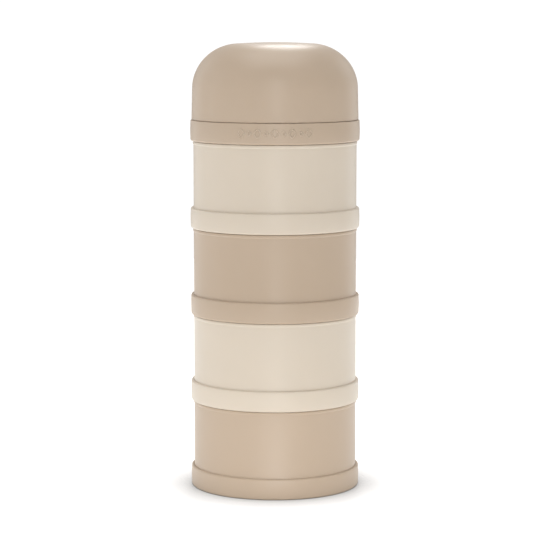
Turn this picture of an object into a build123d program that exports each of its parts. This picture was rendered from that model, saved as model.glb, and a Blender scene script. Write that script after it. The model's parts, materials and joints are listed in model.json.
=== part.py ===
from build123d import *
import os

# Formula dispenser: four stacked screw containers, a pour collar with its funnel and spout, and a
# dome cap. Millimetres, +Z up, origin on the stack's axis at the level of the bottom rim.

# ---- the stack ----
CONTAINERS = 4
STACK_PITCH = 38.5            # height that one container adds to the stack
COLLAR_RADIUS = 37.5          # widest radius, halfway up a collar
COLLAR_HEIGHT = 9.1
COLLAR_CROWN = 0.15           # how far a collar draws in at its top and bottom edge
COLLAR_FOOT_ROUND = 0.7
COLLAR_TOP_ROUND = 0.6
BODY_INSET = 1.4              # the body's wall stands this far inside the collar
FOOT_GROOVE = (0.35, 0.3)     # width and depth of the groove between collar and body
EDGE_BEVEL = 0.3              # on edges inside the joints
RIM_BEVEL = 0.15              # inner edge of a collar's rim

# ---- screw socket and neck ----
SKIRT_WALL = 1.25
NECK_WALL = 1.5
NECK_HEIGHT = 5.4             # rim of a neck above the rim of the collar that is screwed on it
THREAD_LEAD = 12.0
THREAD_STARTS = 3
RIDGE_HEIGHT = 0.8
RIDGE_BAND = 1.5              # width of a ridge at its root
RIDGE_CREST = 0.8             # width of a ridge at its crest
RIDGE_ROOT = 0.4              # how deep a ridge is rooted in its wall
RIDGE_FOOT = 0.35             # lowest edge of a ridge above the collar's rim
RIDGE_HEADROOM = 0.55         # from the highest edge of a ridge to the rim of the neck
THREAD_CLEARANCE = 0.25       # radial, ridge crest to the facing wall
SHOULDER_GAP = 0.15           # shoulder of a container to the collar above it
SHOULDER_BEAD = (0.28, 1.5)   # how proud the bead stands, and its height
FLOOR_THICKNESS = 2.0
FLOOR_BEVEL = 2.0             # inside corner of the cavity

# ---- seal ----
SEAL_THICKNESS = 1.1
SEAL_FIT = 0.05               # above and below the seal
SEAL_BORE_CLEARANCE = 0.1     # seal to plug ring
SEAL_EDGE_CLEARANCE = 0.35    # seal to skirt
PLUG_WALL = 1.4
PLUG_DROP = 2.2               # plug ring below the seat of the seal
PLUG_CLEARANCE = 0.4          # plug ring to the bore of the neck
BARB = (0.2, 0.25, 0.1)       # proud of the plug ring, height of its edge, gap under the seal

# ---- pour collar ----
POUR_COLLAR_HEIGHT = 9.2
POUR_COLLAR_TOP_ROUND = 0.4
SPOUT_RADIUS = 12.0
SPOUT_WALL = 1.5
SPOUT_LENGTH = 8.5            # straight part of the bore
SPOUT_LIP_BEVEL = 0.4
CONE_WALL = 2.4               # measured straight up
TROUGH_WIDTH = 0.8            # between the cone's foot and the snap neck
SNAP_NECK_HEIGHT = 4.3
SNAP_NECK_WALL = 1.1
SNAP_BEAD = 0.3               # how proud the beads stand on the neck and in the cap
SNAP_BEAD_DROP = 1.2          # from the rim of the snap neck to its bead
SNAP_BEAD_STEP = 1.4          # from the neck's bead down to the cap's bead
SNAP_CLEARANCE = 0.07         # one bead past the other

# ---- dome cap ----
CAP_INSET = 0.6               # foot of the cap inside the widest radius of the ring
CAP_HEIGHT = 33.85
CAP_SEAT_GAP = 0.15
CAP_WALL = 1.55
CAP_DRAFT = 0.32              # how far the side wall leans in over its height
CAP_CORNER = (20.9, 19.9)     # half axes of the elliptical corner, radial and upright
CAP_CROWN = 0.5
CAP_FOOT_ROUND = 0.25
SPOUT_HEADROOM = 5.6          # mouth of the spout to the ceiling of the cap
STOPPER_WALL = 1.4
STOPPER_DEPTH = 3.0           # how far the stopper ring reaches into the spout
STOPPER_CLEARANCE = 0.3

# ---- worked out from the sizes above ----
COLLAR_EDGE_RADIUS = COLLAR_RADIUS - COLLAR_CROWN
BODY_RADIUS = COLLAR_RADIUS - BODY_INSET
SKIRT_BORE = COLLAR_RADIUS - SKIRT_WALL
NECK_RADIUS = SKIRT_BORE - THREAD_CLEARANCE - RIDGE_HEIGHT
CAVITY_RADIUS = NECK_RADIUS - NECK_WALL
SEAL_FOOT = NECK_HEIGHT + SEAL_FIT
SEAT_HEIGHT = SEAL_FOOT + SEAL_THICKNESS + SEAL_FIT
FLOOR_TOP = SEAT_HEIGHT + FLOOR_THICKNESS
PLUG_RADIUS = CAVITY_RADIUS - PLUG_CLEARANCE
PLUG_BORE = PLUG_RADIUS - PLUG_WALL
SPOUT_BORE = SPOUT_RADIUS - SPOUT_WALL
LID_FOOT = CONTAINERS * STACK_PITCH
CAP_FOOT = LID_FOOT + POUR_COLLAR_HEIGHT + CAP_SEAT_GAP
CAP_RADIUS = COLLAR_RADIUS - CAP_INSET
CAP_CEILING = CAP_FOOT + CAP_HEIGHT - CAP_WALL
SPOUT_TOP = CAP_CEILING - SPOUT_HEADROOM - LID_FOOT
SNAP_RADIUS = CAP_RADIUS - CAP_WALL - SNAP_CLEARANCE - 2 * SNAP_BEAD


def turned(outline):
    """Turn a closed outline of (radius, height, corner) about the stack's axis.

    A corner is the radius of its round, or minus the width of its bevel.
    """
    points = []
    rounds = []
    for place, (radius, height, corner) in enumerate(outline):
        here = Vector(radius, height)
        if corner >= 0:
            points.append(here)
            rounds.append(corner)
            continue
        for neighbour in (outline[place - 1], outline[(place + 1) % len(outline)]):
            along = (Vector(neighbour[0], neighbour[1]) - here).normalized()
            points.append(here - along * corner)
            rounds.append(0)
    line = FilletPolyline(*points, radius=rounds, close=True)
    return revolve(Plane.XZ * make_face(line), Axis.Z)


def thread_ridges(root, crest, first_turn):
    """Short helical ridges, one for each start, from a wall at radius root to radius crest."""
    rise = NECK_HEIGHT - RIDGE_HEADROOM - RIDGE_BAND - RIDGE_FOOT
    path = Helix(THREAD_LEAD, rise, (root + crest) / 2)
    buried = root - RIDGE_ROOT if crest > root else root + RIDGE_ROOT
    section = Polyline(
        (buried, -RIDGE_BAND / 2),
        (root, -RIDGE_BAND / 2),
        (crest, -RIDGE_CREST / 2),
        (crest, RIDGE_CREST / 2),
        (root, RIDGE_BAND / 2),
        (buried, RIDGE_BAND / 2),
        close=True,
    )
    start = path @ 0
    across = Plane(origin=start, x_dir=(1, 0, 0), z_dir=-(path % 0))
    face = across * Pos(-start.X, 0, 0) * make_face(section)
    ridge = sweep(face, path=path, is_frenet=True)
    height = RIDGE_FOOT + RIDGE_BAND / 2
    turns = [first_turn + 360 / THREAD_STARTS * start for start in range(THREAD_STARTS)]
    return [Pos(0, 0, height) * Rot(0, 0, turn) * ridge for turn in turns]


def socket_outline(collar_height, top_round):
    """Plug ring, seal seat, skirt and collar, from the plug ring's bore out and up to the collar's top."""
    barb_proud, barb_edge, barb_gap = BARB
    barb_top = SEAL_FOOT - barb_gap
    return [
        (PLUG_BORE, SEAT_HEIGHT - PLUG_DROP, -EDGE_BEVEL),
        (PLUG_RADIUS, SEAT_HEIGHT - PLUG_DROP, -EDGE_BEVEL),
        (PLUG_RADIUS + barb_proud, barb_top - barb_edge, 0),
        (PLUG_RADIUS + barb_proud, barb_top, 0),
        (PLUG_RADIUS, barb_top, 0),
        (PLUG_RADIUS, SEAT_HEIGHT, 0),
        (SKIRT_BORE, SEAT_HEIGHT, 0),
        (SKIRT_BORE, 0, -RIM_BEVEL),
        (COLLAR_EDGE_RADIUS, 0, COLLAR_FOOT_ROUND),
        (COLLAR_RADIUS, collar_height / 2, 0),
        (COLLAR_EDGE_RADIUS, collar_height, top_round),
    ]


def container():
    """One container: screw socket at its foot, floor, wall, shoulder bead and threaded neck."""
    groove_width, groove_depth = FOOT_GROOVE
    bead_proud, bead_height = SHOULDER_BEAD
    shoulder = STACK_PITCH - SHOULDER_GAP
    rim = STACK_PITCH + NECK_HEIGHT
    outline = [(0, SEAT_HEIGHT, 0), (PLUG_BORE, SEAT_HEIGHT, 0)]
    outline += socket_outline(COLLAR_HEIGHT, COLLAR_TOP_ROUND)
    outline += [
        (BODY_RADIUS + groove_width, COLLAR_HEIGHT, 0),
        (BODY_RADIUS, COLLAR_HEIGHT - groove_depth, 0),
        (BODY_RADIUS, shoulder - bead_height, 0),
        (BODY_RADIUS + bead_proud, shoulder - bead_height + bead_proud, 0),
        (BODY_RADIUS + bead_proud, shoulder, -EDGE_BEVEL),
        (NECK_RADIUS, shoulder, 0),
        (NECK_RADIUS, rim, -EDGE_BEVEL),
        (CAVITY_RADIUS, rim, -EDGE_BEVEL),
        (CAVITY_RADIUS, FLOOR_TOP, -FLOOR_BEVEL),
        (0, FLOOR_TOP, 0),
    ]
    body = turned(outline)
    outside = thread_ridges(NECK_RADIUS, NECK_RADIUS + RIDGE_HEIGHT, 0)
    body += [Pos(0, 0, STACK_PITCH) * ridge for ridge in outside]
    return body + socket_ridges()


def socket_ridges():
    """Ridges inside a collar. Half a thread pitch round, they lie midway between those of the neck."""
    half_pitch_turn = 360 / THREAD_STARTS / 2
    return thread_ridges(SKIRT_BORE, SKIRT_BORE - RIDGE_HEIGHT, half_pitch_turn)


def pour_collar():
    """The lid's ring with its screw socket, the pouring funnel, the spout and the cap's snap neck."""
    deck = POUR_COLLAR_HEIGHT
    snap_bore = SNAP_RADIUS - SNAP_NECK_WALL
    outer_cone_foot = snap_bore - TROUGH_WIDTH
    cone_top = SPOUT_TOP - SPOUT_LENGTH
    slope = (cone_top + CONE_WALL - deck) / (outer_cone_foot - SPOUT_BORE)
    cone_foot = deck - CONE_WALL + slope * (outer_cone_foot - PLUG_BORE)
    outer_cone_top = cone_top + CONE_WALL - SPOUT_WALL * slope
    rim = deck + SNAP_NECK_HEIGHT
    bead = rim - SNAP_BEAD_DROP
    outline = [(PLUG_BORE, cone_foot, 0)]
    outline += socket_outline(POUR_COLLAR_HEIGHT, POUR_COLLAR_TOP_ROUND)
    outline += [
        (SNAP_RADIUS, deck, 0),
        (SNAP_RADIUS, bead - SNAP_BEAD, 0),
        (SNAP_RADIUS + SNAP_BEAD, bead, 0),
        (SNAP_RADIUS, bead + SNAP_BEAD, 0),
        (SNAP_RADIUS, rim, -EDGE_BEVEL),
        (snap_bore, rim, -EDGE_BEVEL),
        (snap_bore, deck, 0),
        (outer_cone_foot, deck, 0),
        (SPOUT_RADIUS, outer_cone_top, 0),
        (SPOUT_RADIUS, SPOUT_TOP, -SPOUT_LIP_BEVEL),
        (SPOUT_BORE, SPOUT_TOP, -SPOUT_LIP_BEVEL),
        (SPOUT_BORE, cone_top, 0),
    ]
    return turned(outline) + socket_ridges()


def seal():
    """Soft ring between the rim of a neck and the seat in the socket above it."""
    bore = PLUG_RADIUS + SEAL_BORE_CLEARANCE
    edge = SKIRT_BORE - SEAL_EDGE_CLEARANCE
    top = SEAL_FOOT + SEAL_THICKNESS
    return turned([
        (bore, SEAL_FOOT, -EDGE_BEVEL),
        (edge, SEAL_FOOT, -EDGE_BEVEL),
        (edge, top, -EDGE_BEVEL),
        (bore, top, -EDGE_BEVEL),
    ])


def dome_solid(inset):
    """The dome's outer shape, or the hollow in it, which lies one wall thickness further in."""
    corner_width, corner_height = CAP_CORNER
    side_top = CAP_HEIGHT - corner_height - CAP_CROWN
    corner_radius = CAP_RADIUS - CAP_DRAFT - corner_width
    flat = side_top + corner_height - inset
    top = CAP_HEIGHT - inset
    side = Line((CAP_RADIUS - inset, 0), (CAP_RADIUS - CAP_DRAFT - inset, side_top))
    half_axes = corner_width - inset, corner_height - inset
    corner = EllipticalCenterArc((corner_radius, side_top), *half_axes, start_angle=0, arc_size=90)
    crown = TangentArc((0, top), (corner_radius, flat), tangent=(1, 0))
    closing = Polyline((0, top), (0, 0), (CAP_RADIUS - inset, 0))
    face = make_face(side + corner + crown + closing)
    return revolve(Plane.XZ * face, Axis.Z)


def dome_cap():
    """Thin dome with a snap bead inside its foot and a ring that stops the spout."""
    shell = dome_solid(0)
    foot = [edge for edge in shell.edges() if edge.center(CenterOf.BOUNDING_BOX).Z < 0.001]
    shell = fillet(foot, CAP_FOOT_ROUND) - dome_solid(CAP_WALL)
    bead = SNAP_NECK_HEIGHT - SNAP_BEAD_DROP - SNAP_BEAD_STEP
    wall = CAP_RADIUS - CAP_WALL
    shell += turned([
        (wall + RIDGE_ROOT, bead - SNAP_BEAD, 0),
        (wall + RIDGE_ROOT, bead + SNAP_BEAD, 0),
        (wall - CAP_DRAFT / 2, bead + SNAP_BEAD, 0),
        (wall - SNAP_BEAD, bead, 0),
        (wall - CAP_DRAFT / 2, bead - SNAP_BEAD, 0),
    ])
    ceiling = CAP_HEIGHT - CAP_WALL / 2
    stopper_foot = CAP_HEIGHT - CAP_WALL - SPOUT_HEADROOM - STOPPER_DEPTH
    stopper = SPOUT_BORE - STOPPER_CLEARANCE
    shell += turned([
        (stopper - STOPPER_WALL, stopper_foot, -EDGE_BEVEL),
        (stopper, stopper_foot, -EDGE_BEVEL),
        (stopper, ceiling, 0),
        (stopper - STOPPER_WALL, ceiling, 0),
    ])
    return shell


os.makedirs("parts", exist_ok=True)

one_container = container()
one_seal = seal()
nodes = {
    "dome_cap": Pos(0, 0, CAP_FOOT) * dome_cap(),
    "pour_collar": Pos(0, 0, LID_FOOT) * pour_collar(),
    "pour_seal": Pos(0, 0, LID_FOOT) * one_seal,
}
for number in range(1, CONTAINERS + 1):
    foot = (CONTAINERS - number) * STACK_PITCH
    nodes[f"container_{number}"] = Pos(0, 0, foot) * one_container
    nodes[f"seal_{number}"] = Pos(0, 0, foot) * one_seal

for name, solid in nodes.items():
    export_step(solid, f"parts/{name}.step")
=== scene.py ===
import json
import math

import bmesh
import bpy
from bpy.props import FloatProperty, FloatVectorProperty, IntProperty, PointerProperty
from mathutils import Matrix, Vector


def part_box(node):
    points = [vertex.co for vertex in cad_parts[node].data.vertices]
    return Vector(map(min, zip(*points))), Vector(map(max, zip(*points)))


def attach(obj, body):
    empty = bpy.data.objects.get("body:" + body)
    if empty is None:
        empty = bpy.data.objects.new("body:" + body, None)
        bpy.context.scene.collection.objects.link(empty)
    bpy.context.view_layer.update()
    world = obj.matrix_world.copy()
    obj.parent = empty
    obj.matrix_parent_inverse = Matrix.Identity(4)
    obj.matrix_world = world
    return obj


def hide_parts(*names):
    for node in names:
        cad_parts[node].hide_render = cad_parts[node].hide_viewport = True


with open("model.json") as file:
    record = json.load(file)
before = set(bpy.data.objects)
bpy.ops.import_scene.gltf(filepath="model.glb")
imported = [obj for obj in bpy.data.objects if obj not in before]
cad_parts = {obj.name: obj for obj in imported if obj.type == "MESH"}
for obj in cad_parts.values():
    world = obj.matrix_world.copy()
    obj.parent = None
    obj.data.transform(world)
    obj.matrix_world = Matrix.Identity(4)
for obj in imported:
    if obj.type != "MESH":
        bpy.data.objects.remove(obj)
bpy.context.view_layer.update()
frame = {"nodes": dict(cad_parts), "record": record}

bl_info = {
    "name": "Formula dispenser",
    "version": (1, 0, 0),
    "blender": (4, 5, 0),
    "location": "View3D > Sidebar > Dispenser",
    "description": "Builds the shells, threads, seals and studio of a stacking formula dispenser",
    "category": "Object",
}

MM = 0.001
TAU = math.tau
ROUND_SEGMENTS = 192        # faces round a turned shell
DOME_SEGMENTS = 256         # faces round the dome cap
CORNER_STEPS = 5            # faces over a rounded corner
DOME_STEPS = 36             # faces over the dome's corner
CROWN_STEPS = 8             # faces from the dome's corner to its apex
CREASE = math.radians(35)   # edges sharper than this stay crisp
PATH_RADIUS = 0.1           # circle that a turned outline is swept round
WELD = 1e-6                 # points nearer than this are one
RUN_OUT = 0.14              # share of a thread ridge over which its end fades
RUN_OUT_SIZE = 0.12         # size of a ridge's very end against its middle
STROKE_SIDES = 14           # faces round a stroke of the motif
LOZENGE_ROUND = 0.25        # round of a lozenge's corners against its width
LOZENGE_STEPS = 6           # faces over a lozenge's corner
SENSOR_WIDTH = 36           # millimetres
CONTAINERS = sorted(name for name in frame["nodes"] if name.startswith("container_"))


def foot_of(node):
    """Height of a node's lowest point, in metres."""
    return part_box(node)[0].z


def top_of(node):
    """Height of a node's highest point, in metres."""
    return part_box(node)[1].z


PITCH = foot_of(CONTAINERS[0]) - foot_of(CONTAINERS[1])
NECK_RIM = top_of(CONTAINERS[0]) - foot_of(CONTAINERS[0]) - PITCH
SEAL_LOW = foot_of("pour_seal") - foot_of("pour_collar")
SEAL_HIGH = top_of("pour_seal") - foot_of("pour_collar")
SPOUT_TOP = top_of("pour_collar") - foot_of("pour_collar")
CAP_HEIGHT = top_of("dome_cap") - foot_of("dome_cap")
COLLAR_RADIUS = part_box(CONTAINERS[0])[1].x

# Small shapes of the mouldings.
FINE_ROUND = 0.1 * MM           # sharpest edges
BEAD_ROUND = 0.2 * MM           # crest of a snap bead
BARB_RISE = 0.25 * MM           # slope under the plug ring's barb
GATE_RING = 0.85                # flat of the gate's dimple, against the dimple
GATE_STUB = (0.25, 0.35)        # top and foot of the stub in it, against the dimple
GATE_ROUNDS = (0.2 * MM, 0.15 * MM)
GROOVE_ROUND = 0.08 * MM
# Each point: share of the bead's proudness, share of its height below the shoulder, round.
SHOULDER_BEAD = (
    (0.8, 0.78, 0.5 * MM),
    (1.0, 0.45, 1.2 * MM),
    (0.6, 0.0, 0.25 * MM),
)
CONE_FOOT_ROUND = 1.5 * MM      # inside, from the plug ring into the funnel
CONE_TOP_ROUND = 1.6 * MM       # outside, from the funnel into the spout
THROAT_ROUND = 3 * MM           # inside, from the funnel into the spout
LIP_SHARE = 0.4                 # round of the spout's lip against its wall
CEILING_SINK = 0.12 * MM        # root of the stopper ring below the ceiling
STOPPER_ROUND = 0.5 * MM
STOPPER_LIP = 0.4 * MM
SEAL_BORE_GAP = 0.1 * MM        # seal to plug ring
SEAL_EDGE_GAP = 0.35 * MM       # seal to skirt

# Finishes. Noise is (points per metre, detail, roughness) and relief is (strength, height in metres).
FLOW_NOISE = (55, 3, 0.55)
GRAIN_NOISE = (2, 0.6)          # its scale follows the grain's size
GLOSS_NOISE = (190, 4, 0.5)
GLOSS_SWING = 0.06
FLOW_RELIEF = (0.10, 0.0004)
GRAIN_RELIEF = (0.10, 0.00004)
PLASTIC_IOR = 1.49
PLASTIC_DEPTH = (0.08, (1.0, 0.75, 0.5), 0.002)     # weight, reach of each colour, scale in metres
CLOUD_NOISE = (240, 4, 0.5)
CLOUD_TINT = 0.04
CLOUD_GLOSS = (0.48, 0.62)
SKIN_NOISE = (2200, 2, 0.5)
SKIN_RELIEF = (0.12, 0.00004)
SILICONE_IOR = 1.42
SILICONE_DEPTH = (0.3, (1.0, 0.9, 0.8), 0.003)

# Stage.
FLOOR_SEGMENTS = 192
FLOOR_ROUGHNESS = 0.9
FLOOR_SHADE = 0.92
GLOW_SPAN = (0.3, 0.9)          # where the glow begins and ends to change, against the floor's radius
CONTACT_SAMPLES = 4
SEEN_WHITE = 1.05


def length(name, description, default):
    """A size in metres."""
    return FloatProperty(
        name=name, description=description, default=default, unit="LENGTH", precision=5
    )


def share(name, description, default):
    """A plain number from nought to one."""
    return FloatProperty(
        name=name, description=description, default=default, min=0, max=1, subtype="FACTOR"
    )


def colour(name, description, default):
    """A linear colour."""
    return FloatVectorProperty(
        name=name, description=description, default=default, size=3, min=0, max=1,
        subtype="COLOR",
    )


# ---- sizes and finishes that a user would change ----


class SocketSizes(bpy.types.PropertyGroup):
    collar_radius: length("Collar radius", "Widest radius, halfway up a collar", COLLAR_RADIUS)
    collar_height: length("Collar height", "Rim to top of a collar", 9.1 * MM)
    crown: length("Crown", "How far a collar draws in at its edges", 0.15 * MM)
    crown_curve: length("Crown curve", "Radius that rounds the crown", 40 * MM)
    foot_round: length("Foot round", "Outer lower edge of a collar", 0.9 * MM)
    top_round: length("Top round", "Outer upper edge of a collar", 0.85 * MM)
    rim_round: length("Rim round", "Inner lower edge of a collar", 0.15 * MM)
    edge_round: length("Edge round", "Small edges inside the joints", 0.3 * MM)
    skirt_bore: length("Skirt bore", "Radius inside the collar", 36.25 * MM)
    plug_radius: length("Plug radius", "Outside of the plug ring", 33.3 * MM)
    plug_bore: length("Plug bore", "Inside of the plug ring", 31.9 * MM)
    plug_drop: length("Plug drop", "Plug ring below the seal's seat", 2.2 * MM)
    barb: length("Barb", "How proud the plug ring's barb stands", 0.2 * MM)
    fit: length("Fit", "Room above the seal", 0.05 * MM)


class ContainerSizes(bpy.types.PropertyGroup):
    body_radius: length("Body radius", "Outside of the body", 36.1 * MM)
    cavity_radius: length("Cavity radius", "Inside of the body", 33.7 * MM)
    neck_radius: length("Neck radius", "Outside of the neck", 35.2 * MM)
    neck_round: length("Neck round", "Edges of the neck's rim", 0.45 * MM)
    floor: length("Floor", "Thickness of the floor", 2.0 * MM)
    floor_round: length("Floor round", "Inside corner of the cavity", 3.0 * MM)
    groove_width: length("Groove width", "Groove between collar and body", 0.25 * MM)
    groove_depth: length("Groove depth", "Groove between collar and body", 0.15 * MM)
    shoulder_gap: length("Shoulder gap", "Shoulder to the collar above", 0.15 * MM)
    bead_height: length("Bead height", "Height of the shoulder bead", 1.5 * MM)
    bead_proud: length("Bead proud", "How proud the shoulder bead stands", 0.28 * MM)
    gate_radius: length("Gate radius", "Dimple round the moulding gate", 2.6 * MM)
    gate_depth: length("Gate depth", "Depth of that dimple", 0.4 * MM)


class ThreadSizes(bpy.types.PropertyGroup):
    lead: length("Lead", "Rise in one full turn", 12 * MM)
    ridge: length("Ridge", "Height of a ridge over its wall", 0.8 * MM)
    root_band: length("Root band", "Width of a ridge at its wall", 1.5 * MM)
    crest_band: length("Crest band", "Width of a ridge at its crest", 0.7 * MM)
    foot: length("Foot", "Lowest edge of a ridge above the rim", 0.35 * MM)
    rise: length("Rise", "How far one ridge climbs", 3.0 * MM)
    buried: length("Buried", "How deep a ridge is rooted", 0.35 * MM)
    starts: IntProperty(name="Starts", description="Number of ridges", default=3, min=1)
    steps: IntProperty(name="Steps", description="Points along one ridge", default=40, min=4)


class PourCollarSizes(bpy.types.PropertyGroup):
    height: length("Height", "Rim to deck", 9.2 * MM)
    top_round: length("Top round", "Outer upper edge", 0.4 * MM)
    spout_radius: length("Spout radius", "Outside of the spout", 12 * MM)
    spout_bore: length("Spout bore", "Inside of the spout", 10.5 * MM)
    spout_length: length("Spout length", "Straight part of the bore", 8.5 * MM)
    cone_wall: length("Cone wall", "Measured straight up", 2.4 * MM)
    trough: length("Trough", "Between the cone's foot and the snap neck", 0.8 * MM)
    snap_radius: length("Snap radius", "Outside of the snap neck", 34.68 * MM)
    snap_wall: length("Snap wall", "Wall of the snap neck", 1.1 * MM)
    snap_height: length("Snap height", "Snap neck above the deck", 4.3 * MM)
    snap_bead: length("Snap bead", "How proud a bead stands", 0.3 * MM)
    snap_drop: length("Snap drop", "Rim of the snap neck to its bead", 1.2 * MM)


class CapSizes(bpy.types.PropertyGroup):
    radius: length("Radius", "Outside at the foot", 36.9 * MM)
    wall: length("Wall", "Thickness", 1.55 * MM)
    draft: length("Draft", "How far the side leans in", 0.32 * MM)
    corner_width: length("Corner width", "Radial half axis of the corner", 20.9 * MM)
    corner_height: length("Corner height", "Upright half axis of the corner", 19.9 * MM)
    crown: length("Crown", "Rise of the top over its flat", 0.5 * MM)
    foot_round: length("Foot round", "Edges of the foot", 0.3 * MM)
    bead_height: length("Bead height", "Snap bead above the foot", 1.7 * MM)
    stopper_radius: length("Stopper radius", "Outside of the stopper ring", 10.2 * MM)
    stopper_wall: length("Stopper wall", "Wall of the stopper ring", 1.4 * MM)
    stopper_drop: length("Stopper drop", "Stopper ring below the ceiling", 8.6 * MM)


class MotifSizes(bpy.types.PropertyGroup):
    count: IntProperty(name="Count", description="Number of embossed lozenges", default=9, min=1)
    pitch: length("Pitch", "Spacing along the ring", 3.75 * MM)
    width: length("Width", "Width of a lozenge", 3.1 * MM)
    height: length("Height", "Height of a lozenge", 4.6 * MM)
    small: share("Small", "Size of every second lozenge against the others", 0.5)
    stroke: length("Stroke", "Radius of the round stroke", 0.45 * MM)
    relief: length("Relief", "How proud the strokes stand", 0.2 * MM)
    level: length("Level", "Middle of the row above the rim", 4.9 * MM)


class Finishes(bpy.types.PropertyGroup):
    lid_tan: colour("Lid tan", "Tan of the cap and its ring", (0.507, 0.397, 0.295))
    tan: colour("Tan", "Tan of the containers", (0.506, 0.394, 0.290))
    cream: colour("Cream", "Cream of the containers", (0.664, 0.578, 0.472))
    silicone: colour("Silicone", "Soft ring seals", (0.80, 0.79, 0.75))
    roughness: share("Roughness", "Middle roughness of the moulded plastic", 0.38)
    mottle: share("Mottle", "How far the colour wanders", 0.02)
    grain: length("Grain", "Size of the spark-eroded grain", 0.35 * MM)


class StageSettings(bpy.types.PropertyGroup):
    distance: length("Distance", "Camera in front of the axis", 950 * MM)
    height: length("Height", "Camera above the floor", 208 * MM)
    tilt: FloatProperty(
        name="Tilt", description="Camera pitched down", default=math.radians(6.843), subtype="ANGLE"
    )
    lens: FloatProperty(name="Lens", description="Focal length in millimetres", default=140.5)
    floor_radius: length("Floor radius", "Radius of the floor", 900 * MM)
    floor_glow: share("Floor glow", "Light given off by the floor near the object", 0.4)
    contact_reach: length("Contact reach", "How far the contact shadow spreads", 24 * MM)
    edge_glow: share("Edge glow", "Light given off by the floor at its edge", 0.6)
    room_light: share("Room light", "Even light from all round", 0.47)


SETTINGS = {
    "dispenser_socket": SocketSizes,
    "dispenser_container": ContainerSizes,
    "dispenser_thread": ThreadSizes,
    "dispenser_pour_collar": PourCollarSizes,
    "dispenser_cap": CapSizes,
    "dispenser_motif": MotifSizes,
    "dispenser_finishes": Finishes,
    "dispenser_stage": StageSettings,
}

# Name, bearing from the front and rise in degrees, distance in metres, (width, height) in metres,
# watts, height aimed at in metres and spread in degrees.
SOFTBOXES = (
    ("overhead", 0, 89.9, 1.4, (1.2, 1.2), 9.0, 0.1, 180),
    ("back_top", 176.5, 43, 1.3, (0.27, 0.42), 3.4, 0.1, 180),
    ("left_side", -95, 8, 1.2, (0.6, 1.2), 1.5, 0.1, 180),
    ("left_back", -135, 8, 1.2, (0.6, 1.2), 1.5, 0.1, 180),
    ("right_back", 135, 8, 1.2, (0.6, 1.2), 1.7, 0.1, 180),
    ("left_front", -50, 20, 1.2, (0.6, 1.0), 0.4, 0.1, 180),
    ("front_strip", 2, 12, 1.3, (0.13, 1.0), 2.8, 0.1, 180),
    ("low_front", 0, 4, 0.2, (0.2, 0.02), 0.011, 0.001, 60),
)

# ---- node trees ----


def new_tree(name, sockets):
    """An empty geometry tree with named inputs and its group nodes."""
    tree = bpy.data.node_groups.new(name, "GeometryNodeTree")
    tree.interface.new_socket("Geometry", in_out="INPUT", socket_type="NodeSocketGeometry")
    for socket, kind in sockets:
        tree.interface.new_socket(socket, in_out="INPUT", socket_type="NodeSocket" + kind)
    tree.interface.new_socket("Geometry", in_out="OUTPUT", socket_type="NodeSocketGeometry")
    return tree, tree.nodes.new("NodeGroupInput").outputs


def put(tree, kind, settings=None, **inputs):
    """Add a node, set its own settings, and link or set its inputs by name (spaces as underscores)."""
    node = tree.nodes.new(kind)
    for name, value in (settings or {}).items():
        setattr(node, name, value)
    for name, value in inputs.items():
        socket = node.inputs[int(name[1:])] if name[0] == "i" and name[1:].isdigit() else None
        if socket is None:
            socket = next(s for s in node.inputs if s.enabled and s.name == name.replace("_", " "))
        if isinstance(value, bpy.types.NodeSocket):
            tree.links.new(value, socket)
        else:
            socket.default_value = value
    return node.outputs[0]


def maths(tree, operation, first, second=0.0):
    """One arithmetic step."""
    return put(tree, "ShaderNodeMath", {"operation": operation}, i0=first, i1=second)


def finish_tree(tree, geometry, material):
    """Shade, realize, paint and put out."""
    shaded = put(tree, "GeometryNodeSetShadeSmooth", Geometry=geometry, Shade_Smooth=True)
    real = put(tree, "GeometryNodeRealizeInstances", Geometry=shaded)
    painted = put(tree, "GeometryNodeSetMaterial", Geometry=real, Material=material)
    tree.links.new(painted, tree.nodes.new("NodeGroupOutput").inputs[0])
    return tree


def turned_tree():
    """Turns an outline of corner points, each with its own round, about the upright axis."""
    tree, given = new_tree("Turned shell", [
        ("Segments", "Int"), ("Corner steps", "Int"), ("Material", "Material"),
    ])
    outline = put(tree, "GeometryNodeMeshToCurve", Mesh=given["Geometry"])
    rounds = put(tree, "GeometryNodeInputNamedAttribute", {"data_type": "FLOAT"}, Name="round")
    rounded = put(
        tree, "GeometryNodeFilletCurve", {"mode": "POLY"},
        Curve=outline, Count=given["Corner steps"], Radius=rounds, Limit_Radius=True,
    )
    where = tree.nodes.new("ShaderNodeSeparateXYZ")
    tree.links.new(put(tree, "GeometryNodeInputPosition"), where.inputs[0])
    across = maths(tree, "SUBTRACT", where.outputs["X"], PATH_RADIUS)
    down = maths(tree, "MULTIPLY", where.outputs["Z"], -1.0)
    laid = put(tree, "ShaderNodeCombineXYZ", X=across, Y=down)
    profile = put(tree, "GeometryNodeSetPosition", Geometry=rounded, Position=laid)
    path = put(
        tree, "GeometryNodeCurvePrimitiveCircle", Resolution=given["Segments"], Radius=PATH_RADIUS
    )
    shell = put(tree, "GeometryNodeCurveToMesh", Curve=path, Profile_Curve=profile)
    whole = put(tree, "GeometryNodeMergeByDistance", Geometry=shell, Distance=WELD)
    return finish_tree(tree, whole, given["Material"])


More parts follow.
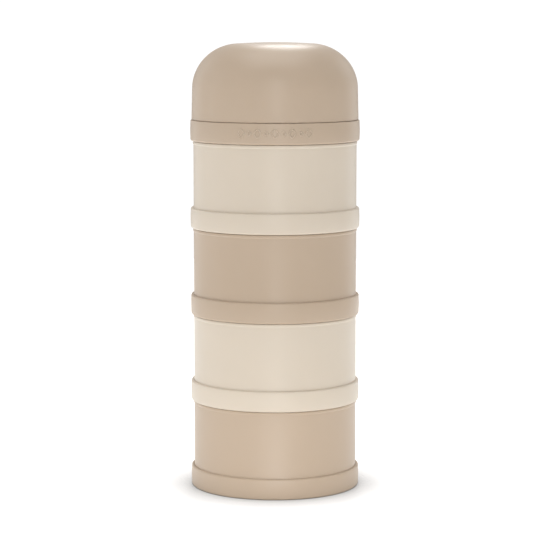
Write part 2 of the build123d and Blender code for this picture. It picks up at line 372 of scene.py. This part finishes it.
def thread_tree():
    """Helical ridges with run-out ends, one for each start of a thread."""
    tree, given = new_tree("Thread ridges", [
        ("Root radius", "Float"), ("Crest radius", "Float"), ("Level", "Float"), ("Rise", "Float"),
        ("Lead", "Float"), ("Root band", "Float"), ("Crest band", "Float"), ("First turn", "Float"),
        ("Starts", "Int"), ("Steps", "Int"), ("Material", "Material"),
    ])
    line = put(tree, "GeometryNodeMeshLine", Count=given["Steps"])
    index = put(tree, "GeometryNodeInputIndex")
    along = maths(tree, "DIVIDE", index, maths(tree, "SUBTRACT", given["Steps"], 1.0))
    nearest_end = maths(tree, "MINIMUM", along, maths(tree, "SUBTRACT", 1.0, along))
    fade = put(
        tree, "ShaderNodeMapRange", {"interpolation_type": "SMOOTHSTEP"},
        Value=nearest_end, From_Min=0.0, From_Max=RUN_OUT, To_Min=RUN_OUT_SIZE, To_Max=1.0,
    )
    turn = maths(tree, "MULTIPLY", along, maths(tree, "DIVIDE", given["Rise"], given["Lead"]))
    angle = maths(tree, "ADD", maths(tree, "MULTIPLY", turn, TAU), given["First turn"])
    both = maths(tree, "ADD", given["Root radius"], given["Crest radius"])
    middle = maths(tree, "MULTIPLY", both, 0.5)
    reach = maths(tree, "MULTIPLY", maths(tree, "SUBTRACT", middle, given["Root radius"]), fade)
    radius = maths(tree, "ADD", given["Root radius"], reach)
    x = maths(tree, "MULTIPLY", maths(tree, "COSINE", angle), radius)
    y = maths(tree, "MULTIPLY", maths(tree, "SINE", angle), radius)
    z = maths(tree, "ADD", maths(tree, "MULTIPLY", along, given["Rise"]), given["Level"])
    place = put(tree, "ShaderNodeCombineXYZ", X=x, Y=y, Z=z)
    wound = put(tree, "GeometryNodeSetPosition", Geometry=line, Position=place)
    helix = put(tree, "GeometryNodeMeshToCurve", Mesh=wound)
    upright = put(tree, "GeometryNodeSetCurveNormal", {"mode": "Z_UP"}, Curve=helix)
    tall = maths(tree, "SUBTRACT", given["Crest radius"], given["Root radius"])
    section = put(
        tree, "GeometryNodeCurvePrimitiveQuadrilateral", {"mode": "TRAPEZOID"},
        Height=maths(tree, "ABSOLUTE", tall), Bottom_Width=given["Root band"],
        Top_Width=given["Crest band"], Offset=0.0,
    )
    quarter = maths(tree, "MULTIPLY", maths(tree, "SIGN", tall), -TAU / 4)
    turn_out = put(tree, "ShaderNodeCombineXYZ", Z=quarter)
    facing_out = put(tree, "GeometryNodeTransform", Geometry=section, Rotation=turn_out)
    ridge = put(
        tree, "GeometryNodeCurveToMesh",
        Curve=upright, Profile_Curve=facing_out, Scale=fade, Fill_Caps=True,
    )
    spread = maths(tree, "MULTIPLY", index, maths(tree, "DIVIDE", TAU, given["Starts"]))
    thread = put(
        tree, "GeometryNodeInstanceOnPoints",
        Points=put(tree, "GeometryNodePoints", Count=given["Starts"]),
        Instance=ridge, Rotation=put(tree, "ShaderNodeCombineXYZ", Z=spread),
    )
    return finish_tree(tree, thread, given["Material"])


def motif_tree():
    """A row of embossed lozenge outlines round the front of a ring, every second one small."""
    tree, given = new_tree("Ring motif", [
        ("Ring radius", "Float"), ("Level", "Float"), ("Count", "Int"), ("Pitch", "Float"),
        ("Width", "Float"), ("Height", "Float"), ("Small", "Float"), ("Relief", "Float"),
        ("Stroke", "Float"), ("Material", "Material"),
    ])
    half = maths(tree, "MULTIPLY", given["Height"], 0.5)
    kite = put(
        tree, "GeometryNodeCurvePrimitiveQuadrilateral", {"mode": "KITE"},
        Width=given["Width"], Bottom_Height=half, Top_Height=half,
    )
    soft = put(
        tree, "GeometryNodeFilletCurve", {"mode": "POLY"}, Curve=kite, Count=LOZENGE_STEPS,
        Radius=maths(tree, "MULTIPLY", given["Width"], LOZENGE_ROUND), Limit_Radius=True,
    )
    index = put(tree, "GeometryNodeInputIndex")
    odd = maths(tree, "MODULO", index, 2.0)
    loss = maths(tree, "MULTIPLY", odd, maths(tree, "SUBTRACT", 1.0, given["Small"]))
    size = maths(tree, "SUBTRACT", 1.0, loss)
    middle = maths(tree, "MULTIPLY", maths(tree, "SUBTRACT", given["Count"], 1.0), 0.5)
    arc = maths(tree, "DIVIDE", given["Pitch"], given["Ring radius"])
    angle = maths(tree, "MULTIPLY", maths(tree, "SUBTRACT", index, middle), arc)
    crest = maths(tree, "ADD", given["Ring radius"], given["Relief"])
    sunk = maths(tree, "SUBTRACT", crest, given["Stroke"])
    x = maths(tree, "MULTIPLY", maths(tree, "SINE", angle), sunk)
    forward = maths(tree, "MULTIPLY", sunk, -1.0)
    y = maths(tree, "MULTIPLY", maths(tree, "COSINE", angle), forward)
    spots = put(
        tree, "GeometryNodePoints",
        Count=given["Count"], Position=put(tree, "ShaderNodeCombineXYZ", X=x, Y=y, Z=given["Level"]),
    )
    scale = put(tree, "ShaderNodeCombineXYZ", X=size, Y=size, Z=1.0)
    facing = put(tree, "ShaderNodeCombineXYZ", X=TAU / 4, Z=angle)
    row = put(
        tree, "GeometryNodeInstanceOnPoints", Points=spots, Instance=soft, Rotation=facing, Scale=scale
    )
    outlines = put(tree, "GeometryNodeRealizeInstances", Geometry=row)
    wire = put(tree, "GeometryNodeCurvePrimitiveCircle", Resolution=STROKE_SIDES, Radius=given["Stroke"])
    strokes = put(tree, "GeometryNodeCurveToMesh", Curve=outlines, Profile_Curve=wire)
    return finish_tree(tree, strokes, given["Material"])


# ---- from outlines and trees to plain meshes ----


def grown(tree, inputs, outline=(), closed=False):
    """The mesh that a tree makes from an outline of (radius, height, round) and its named inputs."""
    mesh = bpy.data.meshes.new(tree.name)
    count = len(outline)
    edges = [(i, (i + 1) % count) for i in range(count if closed else count - 1)]
    mesh.from_pydata([(radius, 0, height) for radius, height, _ in outline], edges, [])
    if count:
        rounds = mesh.attributes.new("round", "FLOAT", "POINT")
        rounds.data.foreach_set("value", [corner for _, _, corner in outline])
    carrier = bpy.data.objects.new(tree.name, mesh)
    bpy.context.scene.collection.objects.link(carrier)
    modifier = carrier.modifiers.new(tree.name, "NODES")
    modifier.node_group = tree
    for item in tree.interface.items_tree:
        if item.item_type == "SOCKET" and item.in_out == "INPUT" and item.name in inputs:
            modifier[item.identifier] = inputs[item.name]
    graph = bpy.context.evaluated_depsgraph_get()
    result = bpy.data.meshes.new_from_object(carrier.evaluated_get(graph))
    carrier.modifiers.remove(modifier)
    bpy.data.objects.remove(carrier)
    return result


def turned(outline, material, closed=False, segments=ROUND_SEGMENTS):
    """A closed shell turned from an outline."""
    tree = bpy.data.node_groups.get("Turned shell") or turned_tree()
    inputs = {"Segments": segments, "Corner steps": CORNER_STEPS, "Material": material}
    return grown(tree, inputs, outline, closed)


def ridges(sizes, root, crest, level, first_turn, material):
    """The mesh of one thread. It is rooted a little way into its wall."""
    tree = bpy.data.node_groups.get("Thread ridges") or thread_tree()
    rooted = root - math.copysign(sizes.buried, crest - root)
    return grown(tree, {
        "Root radius": rooted, "Crest radius": crest, "Level": level + sizes.foot + sizes.root_band / 2,
        "Rise": sizes.rise, "Lead": sizes.lead, "Root band": sizes.root_band,
        "Crest band": sizes.crest_band, "First turn": first_turn, "Starts": sizes.starts,
        "Steps": sizes.steps, "Material": material,
    })


def piece(name, meshes, height):
    """One object from several meshes, lifted to its height, with its faces pointing out."""
    whole = bmesh.new()
    material = meshes[0].materials[0]
    for mesh in meshes:
        whole.from_mesh(mesh)
        bpy.data.meshes.remove(mesh)
    bmesh.ops.translate(whole, verts=whole.verts, vec=Vector((0, 0, height)))
    bmesh.ops.recalc_face_normals(whole, faces=whole.faces)
    result = bpy.data.meshes.new(name)
    whole.to_mesh(result)
    whole.free()
    result.materials.append(material)
    result.set_sharp_from_angle(angle=CREASE)
    body = bpy.data.objects.new(name, result)
    bpy.context.scene.collection.objects.link(body)
    return body


def hand_over(shown, body, node):
    """Fix a finished piece to its body in the frame."""
    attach(shown, body)
    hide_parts(node)


def body_with(node):
    """The body that holds a node."""
    bodies = frame["record"]["behaviour"]["bodies"]
    return next(name for name, nodes in bodies.items() if node in nodes)


# ---- finishes ----


def new_material(name):
    """A material with a principled shader, and its node tree."""
    material = bpy.data.materials.new(name)
    material.use_nodes = True
    return material, material.node_tree, material.node_tree.nodes["Principled BSDF"]


def noise(tree, scale, detail, roughness):
    """Noise on object coordinates."""
    place = tree.nodes.new("ShaderNodeTexCoord").outputs["Object"]
    node = tree.nodes.new("ShaderNodeTexNoise")
    node.inputs["Scale"].default_value = scale
    node.inputs["Detail"].default_value = detail
    node.inputs["Roughness"].default_value = roughness
    tree.links.new(place, node.inputs["Vector"])
    return node.outputs["Fac"]


def ramp(tree, value, low, high):
    """Map nought to one on to low to high."""
    node = tree.nodes.new("ShaderNodeMapRange")
    node.inputs["To Min"].default_value = low
    node.inputs["To Max"].default_value = high
    tree.links.new(value, node.inputs["Value"])
    return node.outputs["Result"]


def bump(tree, height, strength, distance, under=None):
    """A bump over an optional normal."""
    node = tree.nodes.new("ShaderNodeBump")
    node.inputs["Strength"].default_value = strength
    node.inputs["Distance"].default_value = distance
    tree.links.new(height, node.inputs["Height"])
    if under:
        tree.links.new(under, node.inputs["Normal"])
    return node.outputs["Normal"]


def tinted(tree, value, tint, spread):
    """A colour that wanders by spread round tint as value goes from nought to one."""
    mix = tree.nodes.new("ShaderNodeMix")
    mix.data_type = "RGBA"
    darker, lighter = mix.inputs[6], mix.inputs[7]
    darker.default_value = [channel * (1 - spread) for channel in tint] + [1]
    lighter.default_value = [min(channel * (1 + spread), 1) for channel in tint] + [1]
    tree.links.new(value, mix.inputs[0])
    return mix.outputs[2]


def depth(shader, ior, weight, reach, scale):
    """How light bends into and spreads under the surface."""
    shader.inputs["IOR"].default_value = ior
    shader.inputs["Subsurface Weight"].default_value = weight
    shader.inputs["Subsurface Radius"].default_value = reach
    shader.inputs["Subsurface Scale"].default_value = scale


def moulded_plastic(name, tint):
    """Satin polypropylene: spark-eroded grain, faint flow mottling and a little depth."""
    finish = bpy.context.scene.dispenser_finishes
    material, tree, shader = new_material(name)
    mottle = noise(tree, *FLOW_NOISE)
    grain = noise(tree, 1 / finish.grain, *GRAIN_NOISE)
    tree.links.new(tinted(tree, mottle, tint, finish.mottle), shader.inputs["Base Color"])
    shiny, dull = finish.roughness - GLOSS_SWING, finish.roughness + GLOSS_SWING
    tree.links.new(ramp(tree, noise(tree, *GLOSS_NOISE), shiny, dull), shader.inputs["Roughness"])
    swell = bump(tree, mottle, *FLOW_RELIEF)
    tree.links.new(bump(tree, grain, *GRAIN_RELIEF, swell), shader.inputs["Normal"])
    depth(shader, PLASTIC_IOR, *PLASTIC_DEPTH)
    return material


def silicone(name, tint):
    """Matt, slightly clouded silicone."""
    material, tree, shader = new_material(name)
    cloud = noise(tree, *CLOUD_NOISE)
    tree.links.new(tinted(tree, cloud, tint, CLOUD_TINT), shader.inputs["Base Color"])
    tree.links.new(ramp(tree, cloud, *CLOUD_GLOSS), shader.inputs["Roughness"])
    tree.links.new(bump(tree, noise(tree, *SKIN_NOISE), *SKIN_RELIEF), shader.inputs["Normal"])
    depth(shader, SILICONE_IOR, *SILICONE_DEPTH)
    return material


# ---- outlines ----


def socket_outline(socket, collar_height, top_round):
    """Plug ring, seal seat, skirt and collar, from the plug ring's bore to the collar's top."""
    seat = SEAL_HIGH + socket.fit
    barb_top = SEAL_LOW - 2 * socket.fit
    edge = socket.collar_radius - socket.crown
    return [
        (socket.plug_bore, seat - socket.plug_drop, socket.edge_round),
        (socket.plug_radius, seat - socket.plug_drop, socket.edge_round),
        (socket.plug_radius + socket.barb, barb_top - BARB_RISE, socket.barb / 2),
        (socket.plug_radius + socket.barb, barb_top, 0),
        (socket.plug_radius, barb_top, 0),
        (socket.plug_radius, seat, socket.edge_round / 3),
        (socket.skirt_bore, seat, socket.edge_round / 2),
        (socket.skirt_bore, 0, socket.rim_round),
        (edge, 0, socket.foot_round),
        (socket.collar_radius, collar_height / 2, socket.crown_curve),
        (edge, collar_height, top_round),
    ]


def container_outline(socket, body):
    """Open outline of a container, from the gate mark on the axis round to the cavity's floor."""
    seat = SEAL_HIGH + socket.fit
    shoulder = PITCH - body.shoulder_gap
    rim = PITCH + NECK_RIM
    floor_top = seat + body.floor
    gate_deep = seat + body.gate_depth
    stub = seat + body.gate_depth / 2
    bead = [
        (body.body_radius + body.bead_proud * proud, shoulder - body.bead_height * below, corner)
        for proud, below, corner in SHOULDER_BEAD
    ]
    return [
        (0, stub, 0),
        (body.gate_radius * GATE_STUB[0], stub, FINE_ROUND),
        (body.gate_radius * GATE_STUB[1], gate_deep, FINE_ROUND),
        (body.gate_radius * GATE_RING, gate_deep, GATE_ROUNDS[0]),
        (body.gate_radius, seat, GATE_ROUNDS[1]),
        (socket.plug_bore, seat, socket.edge_round),
        *socket_outline(socket, socket.collar_height, socket.top_round),
        (body.body_radius + body.groove_width, socket.collar_height, body.groove_width / 3),
        (body.body_radius, socket.collar_height - body.groove_depth, GROOVE_ROUND),
        (body.body_radius, shoulder - body.bead_height, FINE_ROUND),
        *bead,
        (body.neck_radius, shoulder, socket.edge_round),
        (body.neck_radius, rim, body.neck_round),
        (body.cavity_radius, rim, body.neck_round),
        (body.cavity_radius, floor_top, body.floor_round),
        (0, floor_top, 0),
    ]


def pour_collar_outline(socket, lid):
    """Closed outline of the lid's ring, funnel, spout and snap neck."""
    snap_bore = lid.snap_radius - lid.snap_wall
    cone_foot = snap_bore - lid.trough
    cone_top = SPOUT_TOP - lid.spout_length
    slope = (cone_top + lid.cone_wall - lid.height) / (cone_foot - lid.spout_bore)
    inner_foot = lid.height - lid.cone_wall + slope * (cone_foot - socket.plug_bore)
    outer_top = cone_top + lid.cone_wall - (lid.spout_radius - lid.spout_bore) * slope
    rim = lid.height + lid.snap_height
    bead = rim - lid.snap_drop
    lip = (lid.spout_radius - lid.spout_bore) * LIP_SHARE
    return [
        (socket.plug_bore, inner_foot, CONE_FOOT_ROUND),
        *socket_outline(socket, lid.height, lid.top_round),
        (lid.snap_radius, lid.height, socket.edge_round),
        (lid.snap_radius, bead - lid.snap_bead, FINE_ROUND),
        (lid.snap_radius + lid.snap_bead, bead, BEAD_ROUND),
        (lid.snap_radius, bead + lid.snap_bead, FINE_ROUND),
        (lid.snap_radius, rim, socket.edge_round),
        (snap_bore, rim, socket.edge_round),
        (snap_bore, lid.height, socket.edge_round),
        (cone_foot, lid.height, socket.edge_round),
        (lid.spout_radius, outer_top, CONE_TOP_ROUND),
        (lid.spout_radius, SPOUT_TOP, lip),
        (lid.spout_bore, SPOUT_TOP, lip),
        (lid.spout_bore, cone_top, THROAT_ROUND),
    ]


def dome_line(cap, inset):
    """The dome's outer line, or its inner one, from the foot to the apex."""
    side_top = CAP_HEIGHT - cap.corner_height - cap.crown
    middle = cap.radius - cap.draft - cap.corner_width
    line = [(cap.radius - inset, 0), (cap.radius - cap.draft - inset, side_top)]
    for step in range(1, DOME_STEPS + 1):
        angle = TAU / 4 * step / DOME_STEPS
        line.append((
            middle + (cap.corner_width - inset) * math.cos(angle),
            side_top + (cap.corner_height - inset) * math.sin(angle),
        ))
    flat = line[-1][1]
    for step in range(1, CROWN_STEPS + 1):
        left = 1 - step / CROWN_STEPS
        line.append((middle * left, flat + cap.crown * (1 - left ** 2)))
    return line


def cap_outline(cap, lid):
    """Open outline of the cap, from the apex inside, over the stopper and bead, and back up outside."""
    inner = dome_line(cap, cap.wall)[::-1]
    outer = dome_line(cap, 0)
    ceiling = CAP_HEIGHT - cap.wall - CEILING_SINK
    stopper_bore = cap.stopper_radius - cap.stopper_wall
    stopper_foot = CAP_HEIGHT - cap.wall - cap.stopper_drop
    stopper = [
        (stopper_bore, ceiling, STOPPER_ROUND),
        (stopper_bore, stopper_foot, STOPPER_LIP),
        (cap.stopper_radius, stopper_foot, STOPPER_ROUND),
        (cap.stopper_radius, ceiling, STOPPER_ROUND),
    ]
    near, far = stopper_bore - STOPPER_ROUND, cap.stopper_radius + STOPPER_ROUND
    centre = [(radius, height, 0) for radius, height in inner if radius < near]
    around = [(radius, height, 0) for radius, height in inner[:-1] if radius > far]
    wall = cap.radius - cap.wall
    drawn_in = wall - cap.draft / 8
    bead = [
        (drawn_in, cap.bead_height + lid.snap_bead, FINE_ROUND),
        (wall - lid.snap_bead, cap.bead_height, BEAD_ROUND),
        (drawn_in, cap.bead_height - lid.snap_bead, FINE_ROUND),
    ]
    foot = [(wall, 0, cap.foot_round), (cap.radius, 0, cap.foot_round)]
    side = [(radius, height, 0) for radius, height in outer[1:]]
    return [*centre, *stopper, *around, *bead, *foot, *side]


def seal_outline(socket):
    """Closed outline of a ring seal."""
    bore = socket.plug_radius + SEAL_BORE_GAP
    edge = socket.skirt_bore - SEAL_EDGE_GAP
    return [
        (bore, SEAL_LOW, socket.edge_round),
        (edge, SEAL_LOW, socket.edge_round),
        (edge, SEAL_HIGH, socket.edge_round),
        (bore, SEAL_HIGH, socket.edge_round),
    ]


# ---- operators ----


def socket_thread(scene, material):
    """The ridges inside a collar. They start half a pitch round from those of the neck."""
    sizes = scene.dispenser_thread
    bore = scene.dispenser_socket.skirt_bore
    return ridges(sizes, bore, bore - sizes.ridge, 0, TAU / sizes.starts / 2, material)


class DISPENSER_OT_add_containers(bpy.types.Operator):
    """Build the four stacking containers, each with its socket, neck and threads"""

    bl_idname = "dispenser.add_containers"
    bl_label = "Containers"

    def execute(self, context):
        scene = context.scene
        body, thread = scene.dispenser_container, scene.dispenser_thread
        outline = container_outline(scene.dispenser_socket, body)
        crest = body.neck_radius + thread.ridge
        finish = scene.dispenser_finishes
        paints = {
            "container_cream": moulded_plastic("cream_polypropylene", finish.cream),
            "container_tan": moulded_plastic("tan_polypropylene", finish.tan),
        }
        slots = {part["node"]: part["material_slot"] for part in frame["record"]["subparts"]}
        for node in CONTAINERS:
            material = paints[slots[node]]
            meshes = [
                turned(outline, material),
                ridges(thread, body.neck_radius, crest, PITCH, 0, material),
                socket_thread(scene, material),
            ]
            shown = piece(node + "_shell", meshes, foot_of(node))
            hand_over(shown, body_with(node), node)
        return {"FINISHED"}


class DISPENSER_OT_add_pour_collar(bpy.types.Operator):
    """Build the lid's ring with its raised motif, the funnel, the spout and the snap neck"""

    bl_idname = "dispenser.add_pour_collar"
    bl_label = "Pour collar"

    def execute(self, context):
        scene = context.scene
        socket, emboss = scene.dispenser_socket, scene.dispenser_motif
        material = moulded_plastic("tan_lid_polypropylene", scene.dispenser_finishes.lid_tan)
        motif = grown(motif_tree(), {
            "Ring radius": socket.collar_radius, "Level": emboss.level, "Count": emboss.count,
            "Pitch": emboss.pitch, "Width": emboss.width, "Height": emboss.height,
            "Small": emboss.small, "Relief": emboss.relief, "Stroke": emboss.stroke,
            "Material": material,
        })
        outline = pour_collar_outline(socket, scene.dispenser_pour_collar)
        meshes = [
            turned(outline, material, closed=True),
            socket_thread(scene, material),
            motif,
        ]
        shown = piece("pour_collar_shell", meshes, foot_of("pour_collar"))
        hand_over(shown, body_with("pour_collar"), "pour_collar")
        return {"FINISHED"}


class DISPENSER_OT_add_cap(bpy.types.Operator):
    """Build the dome cap with its snap bead and stopper ring"""

    bl_idname = "dispenser.add_cap"
    bl_label = "Dome cap"

    def execute(self, context):
        scene = context.scene
        material = moulded_plastic("tan_cap_polypropylene", scene.dispenser_finishes.lid_tan)
        outline = cap_outline(scene.dispenser_cap, scene.dispenser_pour_collar)
        shell = turned(outline, material, segments=DOME_SEGMENTS)
        shown = piece("dome_cap_shell", [shell], foot_of("dome_cap"))
        hand_over(shown, body_with("dome_cap"), "dome_cap")
        return {"FINISHED"}


class DISPENSER_OT_add_seals(bpy.types.Operator):
    """Build the soft ring seals"""

    bl_idname = "dispenser.add_seals"
    bl_label = "Seals"

    def execute(self, context):
        scene = context.scene
        material = silicone("clouded_silicone", scene.dispenser_finishes.silicone)
        outline = seal_outline(scene.dispenser_socket)
        for node in sorted(name for name in frame["nodes"] if "seal" in name):
            ring = turned(outline, material, closed=True)
            shown = piece(node + "_ring", [ring], foot_of(node) - SEAL_LOW)
            hand_over(shown, body_with(node), node)
        return {"FINISHED"}


def softbox(name, place, target, size, power, spread):
    """A rectangular light that faces a point and isn't itself seen."""
    lamp = bpy.data.lights.new(name, "AREA")
    lamp.shape = "RECTANGLE"
    lamp.size, lamp.size_y = size
    lamp.energy = power
    lamp.spread = math.radians(spread)
    box = bpy.data.objects.new(name, lamp)
    box.location = place
    box.rotation_euler = (target - place).to_track_quat("-Z", "Y").to_euler()
    box.visible_camera = False
    bpy.context.scene.collection.objects.link(box)


def pale_floor(settings):
    """Matt white floor with a little glow, more towards its edge, and a soft contact shadow."""
    material, tree, shader = new_material("pale_floor")
    shader.inputs["Roughness"].default_value = FLOOR_ROUGHNESS
    shader.inputs["Emission Color"].default_value = (1, 1, 1, 1)
    reach = tree.nodes.new("ShaderNodeVectorMath")
    reach.operation = "LENGTH"
    place = tree.nodes.new("ShaderNodeTexCoord").outputs["Object"]
    tree.links.new(place, reach.inputs[0])
    glow = ramp(tree, reach.outputs["Value"], settings.floor_glow, settings.edge_glow)
    glow.node.interpolation_type = "SMOOTHSTEP"
    glow.node.inputs["From Min"].default_value = settings.floor_radius * GLOW_SPAN[0]
    glow.node.inputs["From Max"].default_value = settings.floor_radius * GLOW_SPAN[1]
    contact = tree.nodes.new("ShaderNodeAmbientOcclusion")
    contact.samples = CONTACT_SAMPLES
    contact.inputs["Distance"].default_value = settings.contact_reach
    contact.inputs["Color"].default_value = (FLOOR_SHADE, FLOOR_SHADE, FLOOR_SHADE, 1)
    shade = maths(tree, "MULTIPLY", glow, contact.outputs["AO"])
    tree.links.new(shade, shader.inputs["Emission Strength"])
    tree.links.new(contact.outputs["Color"], shader.inputs["Base Color"])
    return material


def studio_world(settings):
    """Even soft light from all round, seen as plain white."""
    world = bpy.data.worlds.new("studio")
    world.use_nodes = True
    tree = world.node_tree
    seen = tree.nodes.new("ShaderNodeLightPath").outputs["Is Camera Ray"]
    strength = ramp(tree, seen, settings.room_light, SEEN_WHITE)
    background = tree.nodes["Background"]
    background.inputs["Color"].default_value = (1, 1, 1, 1)
    tree.links.new(strength, background.inputs["Strength"])
    return world


class DISPENSER_OT_set_stage(bpy.types.Operator):
    """Lay the pale floor and set the light and the camera"""

    bl_idname = "dispenser.set_stage"
    bl_label = "Stage"

    def execute(self, context):
        scene = context.scene
        settings = scene.dispenser_stage
        disc = bmesh.new()
        bmesh.ops.create_circle(
            disc, cap_ends=True, segments=FLOOR_SEGMENTS, radius=settings.floor_radius
        )
        mesh = bpy.data.meshes.new("floor")
        disc.to_mesh(mesh)
        disc.free()
        floor = bpy.data.objects.new("floor", mesh)
        scene.collection.objects.link(floor)
        mesh.materials.append(pale_floor(settings))
        scene.world = studio_world(settings)
        for name, bearing, rise, reach, size, power, level, spread in SOFTBOXES:
            bearing, rise = math.radians(bearing), math.radians(rise)
            aim = Vector((0, 0, level))
            flat = math.cos(rise)
            away = Vector((math.sin(bearing) * flat, -math.cos(bearing) * flat, math.sin(rise)))
            softbox(name, aim + away * reach, aim, size, power, spread)
        lens = bpy.data.cameras.new("camera")
        lens.sensor_width = SENSOR_WIDTH
        lens.lens = settings.lens
        camera = bpy.data.objects.new("camera", lens)
        camera.location = (0, -settings.distance, settings.height)
        camera.rotation_euler = (math.pi / 2 - settings.tilt, 0, 0)
        scene.collection.objects.link(camera)
        scene.camera = camera
        scene.view_settings.view_transform = "Standard"
        return {"FINISHED"}


class DISPENSER_PT_panel(bpy.types.Panel):
    """Sizes, finishes and build steps"""

    bl_label = "Formula dispenser"
    bl_idname = "DISPENSER_PT_panel"
    bl_space_type = "VIEW_3D"
    bl_region_type = "UI"
    bl_category = "Dispenser"

    def draw(self, context):
        for step in STEPS:
            self.layout.operator(step.bl_idname)
        for name, group in SETTINGS.items():
            box = self.layout.box()
            box.label(text=group.__name__)
            for field in group.__annotations__:
                box.prop(getattr(context.scene, name), field)


STEPS = (
    DISPENSER_OT_add_containers,
    DISPENSER_OT_add_pour_collar,
    DISPENSER_OT_add_cap,
    DISPENSER_OT_add_seals,
    DISPENSER_OT_set_stage,
)


def register():
    for group in SETTINGS.values():
        bpy.utils.register_class(group)
    for name, group in SETTINGS.items():
        setattr(bpy.types.Scene, name, PointerProperty(type=group))
    for step in STEPS:
        bpy.utils.register_class(step)
    bpy.utils.register_class(DISPENSER_PT_panel)


def unregister():
    bpy.utils.unregister_class(DISPENSER_PT_panel)
    for step in reversed(STEPS):
        bpy.utils.unregister_class(step)
    for name, group in SETTINGS.items():
        delattr(bpy.types.Scene, name)
        bpy.utils.unregister_class(group)


def main():
    register()
    bpy.ops.dispenser.add_containers()
    bpy.ops.dispenser.add_pour_collar()
    bpy.ops.dispenser.add_cap()
    bpy.ops.dispenser.add_seals()
    bpy.ops.dispenser.set_stage()


if __name__ == "__main__":
    main()
